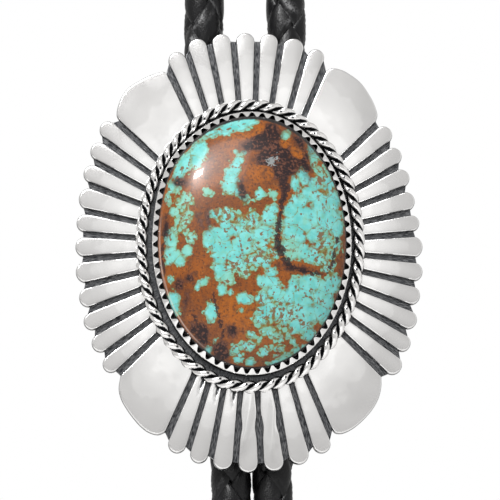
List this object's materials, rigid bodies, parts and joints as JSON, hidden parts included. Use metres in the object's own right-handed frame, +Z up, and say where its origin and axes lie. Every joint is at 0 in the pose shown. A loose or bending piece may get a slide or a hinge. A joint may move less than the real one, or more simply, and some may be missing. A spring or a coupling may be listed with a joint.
{
  "type": "bolo tie",
  "caption": "Bolo tie: a fluted oval silver slide with a domed turquoise in a toothed bezel and twisted wire, worn on a braided leather cord with tapered tips.",
  "frame": {"origin": "under the middle of the cord at the nape of the neck, where the tie hangs from", "axes": "+X to the viewer's right, +Y back from the slide towards the nape, +Z up"},
  "size_m": [0.1061, 0.1404, 0.3586],
  "materials": {
    "silver": "polished, with hand-filed dark grooves",
    "turquoise": "polished, turquoise in a brown matrix",
    "clip_metal": "satin",
    "black_leather": "braided, semi-gloss"
  },
  "bodies": {
    "root": {"setting": "silver", "stone": "turquoise", "bolo_clip": "clip_metal", "neck_loop": "black_leather", "left_tail": "black_leather", "right_tail": "black_leather", "left_tip": "silver", "right_tip": "silver"}
  },
  "joints": []
}
